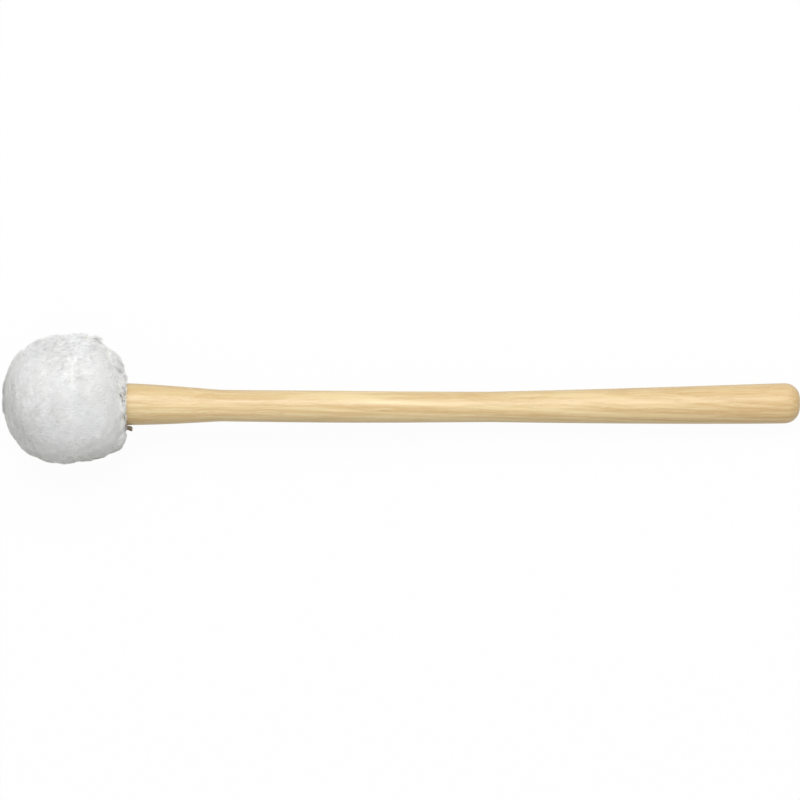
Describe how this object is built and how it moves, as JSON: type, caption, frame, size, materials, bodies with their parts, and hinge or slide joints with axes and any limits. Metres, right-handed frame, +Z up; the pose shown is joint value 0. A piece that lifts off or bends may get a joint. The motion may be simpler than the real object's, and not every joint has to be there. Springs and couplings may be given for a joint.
{
  "type": "bass drum mallet",
  "caption": "Marching bass drum mallet: turned hardwood handle with a flared neck and a ball head of felt under a white fleece cover gathered and tied at the neck.",
  "frame": {"origin": "bottom centre of the box round the mallet as it lies on a table, so z = 0 is the table", "axes": "+X towards the butt of the handle and -X towards the front of the head, +Y sideways, +Z up; the handle rises 3.45 degrees from the butt to the head"},
  "size_m": [0.3676, 0.0604, 0.0593],
  "materials": {
    "hickory": "satin clear lacquer",
    "washer_leather": "matt",
    "core_felt": "hard pressed felt",
    "fastener_steel": "plain steel",
    "wrap_felt": "soft felt",
    "ground_cloth": "knitted ground cloth",
    "fleece": "deep soft pile",
    "binding_thread": "waxed thread"
  },
  "bodies": {
    "root": {"handle": "hickory", "seat_washer": "washer_leather", "core_disc_rear": "core_felt", "core_disc_middle": "core_felt", "core_disc_front": "core_felt", "front_washer": "fastener_steel", "core_screw": "fastener_steel", "felt_wrap": "wrap_felt", "cover_cloth": "ground_cloth", "fleece_pile": "fleece", "gathering_thread": "binding_thread", "thread_start_knot": "binding_thread", "thread_end_knot": "binding_thread"}
  },
  "joints": []
}
